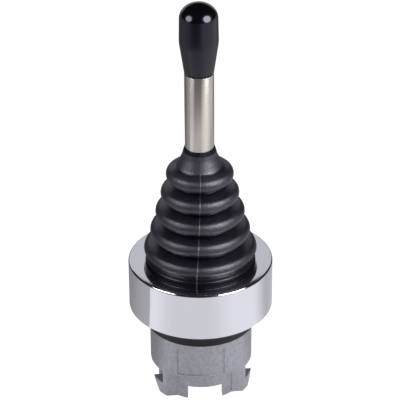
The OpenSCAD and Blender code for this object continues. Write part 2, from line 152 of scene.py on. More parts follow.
# Papers on the table: glowing sheets, out of the camera's sight, that the shiny pieces mirror. A white sheet
# lies near the head, with a grey one from its left side to the back; farther off the table is dark, with a
# white paper on the right and a greyer one on the left. Close round the head their glow is dimmed: a painted
# shadow.
MM = 0.001
NEAR_SHEET_R = 85
FAR_SHEET_R = 140
SHADOW_R = 12
SHADOW_END_R = 26
SHADOW_TONE = 0.43
TABLE_TONE = 0.22
PAPER_DROP = 0.05
papers, tree, output = new_material("white and grey papers")
place = add(tree, "ShaderNodeTexCoord")
spin = add(tree, "ShaderNodeMapping", {"Vector": place.outputs["Object"], "Rotation": (0, 0, -azimuth)})
axes = add(tree, "ShaderNodeSeparateXYZ", {"Vector": spin.outputs["Vector"]})
reach = add(tree, "ShaderNodeVectorMath", {0: place.outputs["Object"]}, operation="LENGTH")
forward = add(tree, "ShaderNodeMath", {0: axes.outputs["Y"], 1: -1.0}, operation="MULTIPLY")
side = add(tree, "ShaderNodeMath", {0: axes.outputs["X"], 1: forward.outputs[0]}, operation="ARCTAN2")
sheets = []
# Each step: two angles round the head, in degrees from the camera's side, and the tone at each.
for steps in (
    (
        (-77.5, -76, 0.5, 1.0),
        (-141, -78, 0.55, 1.0),
        (-70, -35, 1.19, 0.98),
        (8, 50, 1.0, 1.22),
        (77, 114, 1.0, 0.55),
    ),
    ((0, 29, 0.0, 0.8), (97, 143, 1.0, 0.0)),
    ((-34, -57, 0.0, 0.35), (-92, -126, 1.0, 0.0)),
):
    sheet = 1.0
    for start, end, low, high in steps:
        step = add(tree, "ShaderNodeMapRange", {
            "Value": side.outputs[0],
            "From Min": math.radians(start),
            "From Max": math.radians(end),
            "To Min": low,
            "To Max": high,
        }, interpolation_type="SMOOTHSTEP")
        stepped = add(tree, "ShaderNodeMath", {0: step.outputs["Result"], 1: sheet}, operation="MULTIPLY")
        sheet = stepped.outputs[0]
    sheets.append(sheet)
near_sheet, right_sheet, left_sheet = sheets
far_sheets = add(tree, "ShaderNodeMath", {0: right_sheet, 1: left_sheet}, operation="ADD")
far = add(tree, "ShaderNodeMath", {0: far_sheets.outputs[0], 1: TABLE_TONE}, operation="ADD")
farther = add(tree, "ShaderNodeMapRange", {
    "Value": reach.outputs["Value"],
    "From Min": NEAR_SHEET_R * MM,
    "From Max": FAR_SHEET_R * MM,
}, interpolation_type="SMOOTHSTEP")
blend = add(tree, "ShaderNodeMix", {0: farther.outputs["Result"], 2: near_sheet, 3: far.outputs[0]})
# Painted shadow: the papers' glow is dimmed within 12 to 26 mm of the head's axis, where the head shades the
# table.
painted_shadow = add(tree, "ShaderNodeMapRange", {
    "Value": reach.outputs["Value"],
    "From Min": SHADOW_R * MM,
    "From Max": SHADOW_END_R * MM,
    "To Min": SHADOW_TONE,
    "To Max": 1.0,
}, interpolation_type="SMOOTHSTEP")
shaded = add(tree, "ShaderNodeMath", {0: blend.outputs[0], 1: painted_shadow.outputs["Result"]}, operation="MULTIPLY")
dim = add(tree, "ShaderNodeEmission", {"Color": linear("#fafaff"), "Strength": shaded.outputs[0]})
tree.links.new(dim.outputs["Emission"], output.inputs["Surface"])
paper_z = floor_z - PAPER_DROP * MM
paper_corners = [(x * FLOOR_HALF, y * FLOOR_HALF, paper_z) for x, y in corners]
paper = new_piece("papers", paper_corners, one_sheet, papers)
paper.visible_camera = False
paper.visible_diffuse = False
paper.visible_shadow = False
floor.visible_glossy = False

# Lights: two small round lamps close to the knob, on the left and on the right, a white card held up
# behind the head, and a dim room. A camera ray that misses the floor sees white.
LIGHT_DISTANCE = 0.11
ROOM_TONE = 0.03
CARD_TONE = 0.85
CARD_Y = 0.12
CARD_HALF = 0.09
CARD_FOOT_Z = 0.045
CARD_TOP_Z = 0.105
TARGET = Vector((0, -0.003, 0.066))
for name, turn, height, diameter, watts in (
    ("left_light", -66, 22, 0.075, 0.115),
    ("right_light", 55, 23, 0.092, 0.275),
):
    turned_to = azimuth + math.radians(turn)
    raised = math.radians(height)
    towards = Vector((
        math.sin(turned_to) * math.cos(raised),
        -math.cos(turned_to) * math.cos(raised),
        math.sin(raised),
    ))
    lamp = bpy.data.lights.new(name, "AREA")
    lamp.shape = "DISK"
    lamp.size = diameter
    lamp.energy = watts
    light = bpy.data.objects.new(name, lamp)
    light.location = TARGET + towards * LIGHT_DISTANCE
    light.rotation_mode = "QUATERNION"
    light.rotation_quaternion = towards.to_track_quat("Z", "Y")
    light.visible_camera = False
    bpy.context.scene.collection.objects.link(light)
room = bpy.data.worlds.new("room")
room.use_nodes = True
tree = room.node_tree
tree.nodes.clear()
dim_room = add(tree, "ShaderNodeBackground", {"Color": linear("#f2f3fa"), "Strength": ROOM_TONE})
white_room = add(tree, "ShaderNodeBackground", {"Color": linear("#ffffff"), "Strength": 1.0})
seen = add(tree, "ShaderNodeLightPath")
either = add(tree, "ShaderNodeMixShader", {
    0: seen.outputs["Is Camera Ray"],
    1: dim_room.outputs["Background"],
    2: white_room.outputs["Background"],
})
add(tree, "ShaderNodeOutputWorld", {"Surface": either.outputs["Shader"]})
bpy.context.scene.world = room
card_paper, tree, output = new_material("white card")
lit = add(tree, "ShaderNodeEmission", {"Color": linear("#f2f3fa"), "Strength": CARD_TONE})
tree.links.new(lit.outputs["Emission"], output.inputs["Surface"])
card = new_piece("card", [
    (-CARD_HALF, CARD_Y, CARD_FOOT_Z),
    (CARD_HALF, CARD_Y, CARD_FOOT_Z),
    (CARD_HALF, CARD_Y, CARD_TOP_Z),
    (-CARD_HALF, CARD_Y, CARD_TOP_Z),
], one_sheet, card_paper)
card.visible_camera = False
card.visible_shadow = False

# Body: the zinc die-casting that everything else goes into, with bayonet lugs at its foot.
# Raw zinc is a matt bluish grey, a little mottled, and its edges are rounded by the die.
# The die's grain is drawn 0.22 mm coarse, coarser than it is, so that it shows.
MOTTLE = 0.7 * MM
DIE_GRAIN = 0.22 * MM
BODY_EDGE = 0.16 * MM
MERGE_DISTANCE = 0.002 * MM
FLAT_ANGLE = math.radians(0.5)
SHARP_ANGLE = math.radians(13)
zinc, tree, output = new_material("raw zinc die-casting")
place = add(tree, "ShaderNodeTexCoord")
mottle = add(tree, "ShaderNodeTexNoise", {
    "Vector": place.outputs["Object"],
    "Scale": 1 / MOTTLE,
    "Detail": 3.0,
    "Roughness": 0.55,
})
spread = add(tree, "ShaderNodeMapRange", {"Value": mottle.outputs["Fac"], "From Min": 0.3, "From Max": 0.7})
grey = add(tree, "ShaderNodeMix", {
    "Factor": spread.outputs["Result"],
    6: linear("#9b9ca1"),
    7: linear("#adaeb4"),
}, data_type="RGBA")
grain = add(tree, "ShaderNodeTexNoise", {
    "Vector": place.outputs["Object"],
    "Scale": 1 / DIE_GRAIN,
    "Detail": 3.0,
})
skin = add(tree, "ShaderNodeBump", {
    "Height": grain.outputs["Fac"],
    "Strength": 0.22,
    "Distance": 0.06 * MM,
})
matt = add(tree, "ShaderNodeMapRange", {
    "Value": grain.outputs["Fac"],
    "To Min": 0.42,
    "To Max": 0.62,
})
metal = add(tree, "ShaderNodeBsdfPrincipled", {
    "Base Color": grey.outputs[2],
    "Metallic": 1.0,
    "Roughness": matt.outputs["Result"],
    "Normal": skin.outputs["Normal"],
})
tree.links.new(metal.outputs["BSDF"], output.inputs["Surface"])


def softened(node, material, edge_radius):
    """A copy of a CAD node's mesh, merged, with its sharp edges rounded."""
    solid = bmesh.new()
    solid.from_mesh(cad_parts[node].data)
    bmesh.ops.remove_doubles(solid, verts=solid.verts, dist=MERGE_DISTANCE)
    bmesh.ops.dissolve_limit(solid, angle_limit=FLAT_ANGLE, verts=solid.verts, edges=solid.edges)
    mesh = bpy.data.meshes.new(node + "_cast")
    solid.to_mesh(mesh)
    solid.free()
    mesh.materials.clear()
    mesh.materials.append(material)
    piece = bpy.data.objects.new(node + "_cast", mesh)
    bpy.context.scene.collection.objects.link(piece)
    mesh.shade_smooth()
    rounding = piece.modifiers.new("rounded edges", "BEVEL")
    rounding.width = edge_radius
    rounding.segments = 3
    rounding.limit_method = "ANGLE"
    rounding.angle_limit = SHARP_ANGLE
    rounding.harden_normals = True
    return piece


body = softened("body", zinc, BODY_EDGE)
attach(body, "housing")
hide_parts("body")

# Cradle and plungers: the cradle is a moulded acetal block keyed in the body, which holds the pivot pin
# and guides the two moulded plungers. Acetal is off-white, waxy and slightly see-through.
ACETAL_CLOUD = 3 * MM
acetal, tree, output = new_material("moulded natural acetal")
place = add(tree, "ShaderNodeTexCoord")
cloud = add(tree, "ShaderNodeTexNoise", {"Vector": place.outputs["Object"], "Scale": 1 / ACETAL_CLOUD})
cream = add(tree, "ShaderNodeMix", {
    "Factor": cloud.outputs["Fac"],
    6: linear("#e6e1d2"),
    7: linear("#efebdf"),
}, data_type="RGBA")
wax = add(tree, "ShaderNodeBsdfPrincipled", {
    "Base Color": cream.outputs[2],
    "Roughness": 0.38,
    "Subsurface Weight": 0.15,
    "Subsurface Scale": 0.5 * MM,
})
tree.links.new(wax.outputs["BSDF"], output.inputs["Surface"])


def dress(material, *nodes):
    """Gives CAD nodes a material."""
    for node in nodes:
        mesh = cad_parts[node].data
        mesh.materials.clear()
        mesh.materials.append(material)


dress(acetal, "cradle", "plunger_left", "plunger_right")

# Pivot pin, dowels and lever rod: ground stainless steel. The pin and the dowels are pressed in the cradle,
# the rod is pinned in the rocker. Grinding leaves fine lines round the axis, which draw the reflections
# out along it; they are drawn 0.25 mm apart, coarser than they are, so that they show.
GRIND_LINES = 0.25 * MM
ROD_EDGE = 0.08 * MM
steel, tree, output = new_material("ground stainless steel")
place = add(tree, "ShaderNodeTexCoord")
squeezed = add(tree, "ShaderNodeMapping", {"Vector": place.outputs["Object"], "Scale": (0.02, 0.02, 1.0)})
lines = add(tree, "ShaderNodeTexNoise", {
    "Vector": squeezed.outputs["Vector"],
    "Scale": 1 / GRIND_LINES,
    "Detail": 4.0,
    "Roughness": 0.7,
})
warm = add(tree, "ShaderNodeMix", {
    "Factor": lines.outputs["Fac"],
    6: linear("#bab2ab"),
    7: linear("#cec6bf"),
}, data_type="RGBA")
score = add(tree, "ShaderNodeBump", {"Height": lines.outputs["Fac"], "Strength": 0.15, "Distance": 0.01 * MM})
along = add(tree, "ShaderNodeCombineXYZ", {"Z": 1.0})
ground = add(tree, "ShaderNodeBsdfPrincipled", {
    "Base Color": warm.outputs[2],
    "Metallic": 1.0,
    "Roughness": 0.2,
    "Anisotropic": 1.0,
    "Tangent": along.outputs["Vector"],
    "Normal": score.outputs["Normal"],
})
tree.links.new(ground.outputs["BSDF"], output.inputs["Surface"])
dress(steel, "pivot_pin", "gate_dowels")
rod = softened("lever_rod", steel, ROD_EDGE)
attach(rod, "lever")
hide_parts("lever_rod")

# Gate plate, clamp ring and thrust washers: stamped from steel sheet and zinc plated. The plate and the
# ring are clamped under the bezel, the washers run on the pivot pin. Zinc plate is bright and bluish.
PLATE_CLOUD = 2.5 * MM
plated, tree, output = new_material("bright zinc plated steel")
place = add(tree, "ShaderNodeTexCoord")
cloud = add(tree, "ShaderNodeTexNoise", {"Vector": place.outputs["Object"], "Scale": 1 / PLATE_CLOUD})
silver = add(tree, "ShaderNodeMix", {
    "Factor": cloud.outputs["Fac"],
    6: linear("#b6b9be"),
    7: linear("#c6cad2"),
}, data_type="RGBA")
plate = add(tree, "ShaderNodeBsdfPrincipled", {
    "Base Color": silver.outputs[2],
    "Metallic": 1.0,
    "Roughness": 0.32,
})
tree.links.new(plate.outputs["BSDF"], output.inputs["Surface"])
dress(plated, "gate_plate", "boot_clamp_ring", "thrust_washers")

# Rocker: a small zinc die-casting that swings on the pivot pin, with a socket for the rod and two noses
# that press the plungers. It has the body's raw finish.
dress(zinc, "rocker")

# Bush, insert, rod pin and clips: a sintered bronze bush pressed in the rocker, a turned brass insert
# moulded in the knob, and a pin and two clips of spring steel. The bronze is dull and brown, the brass
# yellow and the steel grey, both bright, and each is a little clouded.
METAL_CLOUD = 0.8 * MM
for name, dark, light_tone, rough, nodes in (
    ("sintered bronze", "#9a7a44", "#b0915a", 0.5, ["rocker_bush"]),
    ("turned brass", "#b99a50", "#cdb06a", 0.28, ["knob_insert"]),
    ("bright spring steel", "#8f9296", "#a9acb0", 0.3, [
        "rod_pin",
        "plunger_clip_left",
        "plunger_clip_right",
    ]),
):
    material, tree, output = new_material(name)
    place = add(tree, "ShaderNodeTexCoord")
    cloud = add(tree, "ShaderNodeTexNoise", {"Vector": place.outputs["Object"], "Scale": 1 / METAL_CLOUD})
    tone = add(tree, "ShaderNodeMix", {
        "Factor": cloud.outputs["Fac"],
        6: linear(dark),
        7: linear(light_tone),
    }, data_type="RGBA")
    metal = add(tree, "ShaderNodeBsdfPrincipled", {
        "Base Color": tone.outputs[2],
        "Metallic": 1.0,
        "Roughness": rough,
    })
    tree.links.new(metal.outputs["BSDF"], output.inputs["Surface"])
    dress(material, *nodes)

# Return springs: wound from round spring steel wire, and held between the cradle's floor and a plunger's
# head. The ends are closed: the coil is a spiral whose rise is small in the first and the last turn.
TURN_STEPS = 48
WIRE_SIDES = 14
WIRE_D = 0.4
SPRING_TURNS = 5
CLOSED_TURNS = 1
CLOSED_PITCH = 0.42
spring_steel = bpy.data.materials["bright spring steel"]
coil = bpy.data.node_groups.new("wound spring", "GeometryNodeTree")
for name, kind in (("Foot", "Vector"), ("Radius", "Float"), ("Length", "Float"), ("Wire", "Float")):
    coil.interface.new_socket(name, in_out="INPUT", socket_type="NodeSocket" + kind)
coil.interface.new_socket("Geometry", in_out="OUTPUT", socket_type="NodeSocketGeometry")
sizes = add(coil, "NodeGroupInput")
spiral = add(coil, "GeometryNodeCurveSpiral", {
    "Resolution": TURN_STEPS,
    "Rotations": SPRING_TURNS,
    "Start Radius": sizes.outputs["Radius"],
    "End Radius": sizes.outputs["Radius"],
    "Height": 0.0,
})
share = add(coil, "GeometryNodeSplineParameter")
closed = add(coil, "ShaderNodeMath", {
    0: share.outputs["Factor"],
    1: SPRING_TURNS * CLOSED_PITCH * MM,
}, operation="MULTIPLY")
rest = add(coil, "ShaderNodeMath", {
    0: sizes.outputs["Length"],
    1: SPRING_TURNS * CLOSED_PITCH * MM,
}, operation="SUBTRACT")
opened = add(coil, "ShaderNodeMapRange", {
    "Value": share.outputs["Factor"],
    "From Min": CLOSED_TURNS / SPRING_TURNS,
    "From Max": 1 - CLOSED_TURNS / SPRING_TURNS,
    "To Max": rest.outputs[0],
})
rise = add(coil, "ShaderNodeMath", {0: closed.outputs[0], 1: opened.outputs["Result"]}, operation="ADD")
climb = add(coil, "ShaderNodeCombineXYZ", {"Z": rise.outputs[0]})
raised_coil = add(coil, "GeometryNodeSetPosition", {
    "Geometry": spiral.outputs["Curve"],
    "Offset": climb.outputs["Vector"],
})
half_wire = add(coil, "ShaderNodeMath", {0: sizes.outputs["Wire"], 1: 0.5}, operation="MULTIPLY")
wire = add(coil, "GeometryNodeCurvePrimitiveCircle", {
    "Resolution": WIRE_SIDES,
    "Radius": half_wire.outputs[0],
})
swept = add(coil, "GeometryNodeCurveToMesh", {
    "Curve": raised_coil.outputs["Geometry"],
    "Profile Curve": wire.outputs["Curve"],
    "Fill Caps": True,
})
stood = add(coil, "GeometryNodeTransform", {
    "Geometry": swept.outputs["Mesh"],
    "Translation": sizes.outputs["Foot"],
})
real = add(coil, "GeometryNodeRealizeInstances", {"Geometry": stood.outputs["Geometry"]})
steely = add(coil, "GeometryNodeSetMaterial", {
    "Geometry": real.outputs["Geometry"],
    "Material": spring_steel,
})
add(coil, "NodeGroupOutput", {"Geometry": steely.outputs["Geometry"]})
for side in ("left", "right"):
    low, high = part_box("return_spring_" + side)
    spring = new_piece("return_spring_" + side + "_wound", [], [], spring_steel)
    winding = spring.modifiers.new("winding", "NODES")
    winding.node_group = coil
    values = {
        "Foot": ((low.x + high.x) / 2, (low.y + high.y) / 2, low.z + WIRE_D / 2 * MM),
        "Radius": (high.y - low.y) / 2 - WIRE_D / 2 * MM,
        "Length": high.z - low.z - WIRE_D * MM,
        "Wire": WIRE_D * MM,
    }
    for socket in coil.interface.items_tree:
        if socket.name in values:
            winding[socket.identifier] = values[socket.name]
    wound = spring.evaluated_get(bpy.context.evaluated_depsgraph_get())
    spring.data = bpy.data.meshes.new_from_object(wound)
    spring.modifiers.clear()
    spring.data.shade_smooth()
    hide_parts("return_spring_" + side)
    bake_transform(spring)

# Bezel: a die-cast cap with a flat top, polished and chromed, and pressed on the body's rim, where it
# clamps the boot's flange and holds the gasket. Chrome mirrors its surroundings with a slight blue cast,
# and polishing leaves it a little wavy.
POLISH_WAVE = 6 * MM
ARC_STEPS = 6
RING_STEPS = 192
CREASE = math.radians(35)
chrome, tree, output = new_material("bright chrome plate")
place = add(tree, "ShaderNodeTexCoord")
wave = add(tree, "ShaderNodeTexNoise", {
    "Vector": place.outputs["Object"],
    "Scale": 1 / POLISH_WAVE,
    "Detail": 1.0,
})
ripple = add(tree, "ShaderNodeBump", {"Height": wave.outputs["Fac"], "Strength": 0.1, "Distance": 0.05 * MM})
mirror = add(tree, "ShaderNodeBsdfPrincipled", {
    "Base Color": linear("#d0d0d5"),
    "Metallic": 1.0,
    "Roughness": 0.09,
    "Normal": ripple.outputs["Normal"],
})
tree.links.new(mirror.outputs["BSDF"], output.inputs["Surface"])


def rounded(corners):
    """Points of an outline whose corners are (radius, height, fillet), in mm."""
    points = []
    for i, (r, z, fillet) in enumerate(corners):
        here = Vector((r, z))
        before = Vector(corners[i - 1][:2]) - here
        after = Vector(corners[(i + 1) % len(corners)][:2]) - here
        if fillet == 0:
            points.append((r, z))
            continue
        half = before.angle(after) / 2
        middle = here + (before.normalized() + after.normalized()).normalized() * fillet / math.sin(half)
        first = here + before.normalized() * fillet / math.tan(half) - middle
        last = here + after.normalized() * fillet / math.tan(half) - middle
        turn = math.atan2(first.x * last.y - first.y * last.x, first.dot(last))
        for k in range(ARC_STEPS + 1):
            arm = Matrix.Rotation(turn * k / ARC_STEPS, 2) @ first
            points.append(tuple(middle + arm))
    return points


def turned(name, section, material):
    """A solid of revolution from a closed half section in mm, whose points may lie on the axis."""
    angles = [2 * math.pi * k / RING_STEPS for k in range(RING_STEPS)]
    solid = bmesh.new()
    rings = []
    for r, z in section:
        if r < 1e-6:
            rings.append([solid.verts.new((0, 0, z * MM))])
            continue
        rings.append([solid.verts.new((r * MM * math.sin(a), -r * MM * math.cos(a), z * MM)) for a in angles])
    for low, high in zip(rings, rings[1:] + rings[:1]):
        if len(low) == 1 and len(high) == 1:
            continue
        for k in range(RING_STEPS):
            n = (k + 1) % RING_STEPS
            loop = [low[k % len(low)], low[n % len(low)], high[n % len(high)], high[k % len(high)]]
            solid.faces.new(list(dict.fromkeys(loop)))
    bmesh.ops.recalc_face_normals(solid, faces=solid.faces)
    piece = new_piece(name, [], [], material)
    solid.to_mesh(piece.data)
    solid.free()
    piece.data.shade_smooth()
    piece.data.set_sharp_from_angle(angle=CREASE)
    return piece


low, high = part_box("bezel")
bezel_r = min(high.x, high.y, -low.x, -low.y) / MM
bezel_foot_z = low.z / MM
bezel_top_z = high.z / MM
BEZEL_WALL = 1.2
RIM_R = 0.4
TOP_W = 3.72
TOP_T = 1.8
SKIRT_GAP = 0.15
FOOT_CHAMFER = 0.25
bezel_bore_r = bezel_r - BEZEL_WALL
skirt_r = bezel_r - TOP_W
flange_z = bezel_top_z - TOP_T
bezel = turned("bezel_chromed", rounded([
    (bezel_bore_r, bezel_foot_z, 0),
    (bezel_r - FOOT_CHAMFER, bezel_foot_z, 0.06),
    (bezel_r, bezel_foot_z + FOOT_CHAMFER, 0.1),
    (bezel_r, bezel_top_z, RIM_R),
    (skirt_r + SKIRT_GAP, bezel_top_z, 0.1),
    (skirt_r + SKIRT_GAP, flange_z, 0),
    (bezel_bore_r, flange_z, 0),
]), chrome)
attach(bezel, "housing")
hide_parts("bezel")

# Panel gasket: a moulded nitrile ring under the bezel, with a flange on the panel and a neck in its hole.
# Nitrile is blue-black and satin. Its grain is drawn 0.3 mm coarse, coarser than it is, so that it shows.
NITRILE_GRAIN = 0.3 * MM
nitrile, tree, output = new_material("moulded nitrile")
place = add(tree, "ShaderNodeTexCoord")
grain = add(tree, "ShaderNodeTexNoise", {
    "Vector": place.outputs["Object"],
    "Scale": 1 / NITRILE_GRAIN,
    "Detail": 3.0,
})
skin = add(tree, "ShaderNodeBump", {"Height": grain.outputs["Fac"], "Strength": 0.3, "Distance": 0.02 * MM})
seal = add(tree, "ShaderNodeBsdfPrincipled", {
    "Base Color": linear("#08080c"),
    "Roughness": 0.45,
    "Specular IOR Level": 0.3,
    "Normal": skin.outputs["Normal"],
})
tree.links.new(seal.outputs["BSDF"], output.inputs["Surface"])
low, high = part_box("panel_gasket")
NECK_D = 22.4
BODY_D = 20.9
SEAL_GAP = 0.06
flange_r = high.x / MM
gasket_bore_r = BODY_D / 2 + SEAL_GAP
gasket = turned("panel_gasket_moulded", rounded([
    (gasket_bore_r, low.z / MM, 0.1),
    (NECK_D / 2, low.z / MM, 0.25),
    (NECK_D / 2, 0, 0.15),
    (flange_r, 0, 0.2),
    (flange_r, high.z / MM, 0.1),
    (gasket_bore_r, high.z / MM, 0.05),
]), nitrile)
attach(gasket, "housing")
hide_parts("panel_gasket")

# Boot: the moulded neoprene bellows, with five folds, a collar that grips the rod and a skirt whose flange
# is clamped under the bezel. The mould leaves a thin parting line down the front and the back. The rubber
# is black and dusty, scuffed on the folds, shiny in the hollows; grain and dust are drawn coarse, to show.
RUBBER_GRAIN = 0.25 * MM
neoprene, tree, output = new_material("moulded neoprene")
place = add(tree, "ShaderNodeTexCoord")
grain = add(tree, "ShaderNodeTexNoise", {
    "Vector": place.outputs["Object"],
    "Scale": 1 / RUBBER_GRAIN,
    "Detail": 3.0,
})
hollow = add(tree, "ShaderNodeAttribute", attribute_name="hollow")
scuffs = add(tree, "ShaderNodeMapRange", {"Value": hollow.outputs["Fac"], "To Min": 1.0, "To Max": 0.6})
skin = add(tree, "ShaderNodeBump", {
    "Height": grain.outputs["Fac"],
    "Strength": scuffs.outputs["Result"],
    "Distance": 0.07 * MM,
})
specks = add(tree, "ShaderNodeTexNoise", {
    "Vector": place.outputs["Object"],
    "Scale": 1 / RUBBER_GRAIN,
    "Detail": 2.0,
})
dust = add(tree, "ShaderNodeMapRange", {
    "Value": specks.outputs["Fac"],
    "From Min": 0.64,
    "From Max": 0.74,
    "To Min": 0.0,
    "To Max": 0.6,
})
black = add(tree, "ShaderNodeMix", {
    "Factor": dust.outputs["Result"],
    6: linear("#06050c"),
    7: linear("#4c4b58"),
}, data_type="RGBA")
# The parting line is painted paler than the rubber: a painted highlight for the light its thin ridge catches.
flash = add(tree, "ShaderNodeAttribute", attribute_name="parting_line")
seam_highlight = add(tree, "ShaderNodeMath", {0: flash.outputs["Fac"], 1: 0.45}, operation="MULTIPLY")
black_with_seam_highlight = add(tree, "ShaderNodeMix", {
    "Factor": seam_highlight.outputs[0],
    6: black.outputs[2],
    7: linear("#6c6c7a"),
}, data_type="RGBA")
worn = add(tree, "ShaderNodeMapRange", {"Value": hollow.outputs["Fac"], "To Min": 0.46, "To Max": 0.28})
rubber = add(tree, "ShaderNodeBsdfPrincipled", {
    "Base Color": black_with_seam_highlight.outputs[2],
    "Roughness": worn.outputs["Result"],
    "Specular IOR Level": 0.92,
    "Specular Tint": linear("#f0eeff"),
    "Normal": skin.outputs["Normal"],
}, name="rubber")
tree.links.new(rubber.outputs["BSDF"], output.inputs["Surface"])
# The skirt, under the last fold, and the collar's lip, by the rod, get a matt copy of the rubber that
# reflects far less: painted shade.
matt_shaded_neoprene = neoprene.copy()
matt_shaded_neoprene.name = "matt moulded neoprene"
matt_shaded_rubber = matt_shaded_neoprene.node_tree.nodes["rubber"]
matt_shaded_neoprene.node_tree.links.remove(matt_shaded_rubber.inputs["Roughness"].links[0])
matt_shaded_rubber.inputs["Roughness"].default_value = 0.5
matt_shaded_rubber.inputs["Specular IOR Level"].default_value = 0.15
FOLDS = 5
FOLD_PITCH = 4.22
FOLD_R = 1.5
FOLD_STEP = 1.1
FOLD_OVERHANG = 0.47
EDGE_STEPS = 20
TOP_FOLD_R = 13.45 / 2
VALLEY_DEPTH = 1.0
VALLEY_WALL = 1.2
VALLEY_ROUND = 0.15
SKIRT_RISE = 2.7
SKIRT_BEND = 0.3
SKIRT_BEAD_RISE = 0.75
SKIRT_BEAD_R = 0.12
SKIRT_BEAD_STEPS = 8
RUBBER_T = 1.0
ROD_R = 5.8 / 2
COLLAR_R = 6.55 / 2
COLLAR_BASE_R = 9.1 / 2
COLLAR_FOOT_BEND = 0.5
COLLAR_WAIST_W = 0.2
COLLAR_WAIST_DROP = 1.7
COLLAR_WAIST_BEND = 0.6
COLLAR_LIP_H = 0.75
LIP_EDGE_IN = 0.02
LIP_EDGE_H = 0.06
LIP_MIDDLE_IN = 0.14
LIP_MIDDLE_DROP = 0.35
LIP_TOP_W = 0.05
COLLAR_GAP = 0.08
BORE_CHAMFER = 0.1
BEAD_DEPTH = 0.45
BEAD_H = 1.0
INNER_SKIRT_DROP = 1
low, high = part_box("boot")
boot_foot_z = low.z / MM
boot_flange_r = high.x / MM
collar_z = high.z / MM
last_fold_z = bezel_top_z + SKIRT_RISE
first_fold_z = last_fold_z + (FOLDS - 1) * FOLD_PITCH
collar_bore_r = ROD_R + COLLAR_GAP
fold_outs = [TOP_FOLD_R + i * FOLD_STEP for i in range(FOLDS - 1)] + [skirt_r + FOLD_OVERHANG]
middles = [Vector((out - FOLD_R, first_fold_z - i * FOLD_PITCH)) for i, out in enumerate(fold_outs)]
valleys = [a.lerp(b, 0.5) - Vector((VALLEY_DEPTH, 0)) for a, b in zip(middles, middles[1:])]
collar_foot = Vector((COLLAR_BASE_R, first_fold_z + FOLD_PITCH / 2))


def fold_edge(middle, radius, below, above):
    """Points round a fold's edge, between the lines that touch it from the valleys below and above."""
    ends = []
    for valley, side in ((below, 1), (above, -1)):
        away = valley - middle
        ends.append(math.atan2(away.y, away.x) + side * math.acos(radius / away.length))
    start, end = ends
    turns = [start + (end - start) * k / EDGE_STEPS for k in range(EDGE_STEPS + 1)]
    return [tuple(middle + radius * Vector((math.cos(t), math.sin(t)))) for t in turns]


def bend(start, corner, end, reach):
    """Points of a rounded corner that begins and ends a reach away from it."""
    first = corner + (start - corner).normalized() * reach
    last = corner + (end - corner).normalized() * reach
    shares = [k / ARC_STEPS for k in range(ARC_STEPS + 1)]
    return [tuple(first.lerp(corner, t).lerp(corner.lerp(last, t), t)) for t in shares]


# The half section's outside runs from the flange up to the collar, and its inside back down. Each point of
# the outside is also told how far it lies in a hollow: 0 on a fold's scuffed face, 1 where nothing rubs.
outside = rounded([
    (boot_flange_r, boot_foot_z, 0.2),
    (boot_flange_r, flange_z, 0.2),
    (skirt_r, flange_z, 0.1),
    (skirt_r, last_fold_z, 0),
])[:-1]
skirt_bead_z = bezel_top_z + SKIRT_BEAD_RISE
for k in range(SKIRT_BEAD_STEPS + 1):
    t = math.pi * (k / SKIRT_BEAD_STEPS - 0.5)
    outside.append((skirt_r + SKIRT_BEAD_R * math.cos(t), skirt_bead_z + SKIRT_BEAD_R * math.sin(t)))
skirt_turn = math.acos((skirt_r - middles[-1].x) / FOLD_R)
skirt_top = Vector((skirt_r, last_fold_z - FOLD_R * math.sin(skirt_turn)))
FAR_DOWN = 9
far_below = skirt_top - Vector((0, FAR_DOWN))
edges = []
for middle, below, above in zip(middles, valleys + [far_below], [collar_foot] + valleys):
    edges.append(fold_edge(middle, FOLD_R, below, above))
edges[-1] = [q for q in edges[-1] if q[1] > skirt_top.y + SKIRT_BEND]
outside += bend(Vector((skirt_r, flange_z)), skirt_top, Vector(edges[-1][0]), SKIRT_BEND)
hollows = [1.0] * len(outside)
SCUFF_MIDDLE = math.radians(22)
SCUFF_HALF = math.radians(15)
SCUFF_FADE = math.radians(45)
for i in reversed(range(FOLDS)):
    outside += edges[i]
    for r, z in edges[i]:
        tilt = math.atan2(z - middles[i].y, r - middles[i].x)
        hollows.append(min(max((abs(tilt - SCUFF_MIDDLE) - SCUFF_HALF) / SCUFF_FADE, 0), 1))
    if i > 0:
        outside += bend(Vector(edges[i][-1]), valleys[i - 1], Vector(edges[i - 1][0]), VALLEY_ROUND)
        hollows += [1.0] * (len(outside) - len(hollows))
collar_neck = Vector((COLLAR_R, collar_z - COLLAR_LIP_H))
collar_waist = Vector((COLLAR_R + COLLAR_WAIST_W, collar_z - COLLAR_WAIST_DROP))
COLLAR_FADE = [1.0, 1.0, 0.8, 0.5, 0.2, 0.0, 0.0]
outside += bend(Vector(edges[0][-1]), collar_foot, collar_waist, COLLAR_FOOT_BEND)
hollows += COLLAR_FADE
outside += bend(collar_foot, collar_waist, collar_neck, COLLAR_WAIST_BEND) + [tuple(collar_neck)]
hollows += [0.0] * (len(outside) - len(hollows))
outside += [
    (COLLAR_R - LIP_EDGE_IN, collar_z - COLLAR_LIP_H + LIP_EDGE_H),
    (COLLAR_R - LIP_MIDDLE_IN, collar_z - LIP_MIDDLE_DROP),
    (collar_bore_r + LIP_TOP_W, collar_z),
]
hollows += [1.0] * (len(outside) - len(hollows))
bead_z = collar_z - COLLAR_LIP_H - 1.5 * BEAD_H
bead_r = ROD_R - BEAD_DEPTH + COLLAR_GAP
inside = [
    (collar_bore_r, collar_z - BORE_CHAMFER),
    (collar_bore_r, bead_z + BEAD_H),
    (bead_r, bead_z + BEAD_H),
    (bead_r, bead_z),
    (collar_bore_r, bead_z),
    (collar_bore_r, collar_foot.y),
]
inner_valleys = [v - Vector((VALLEY_WALL, 0)) for v in valleys]
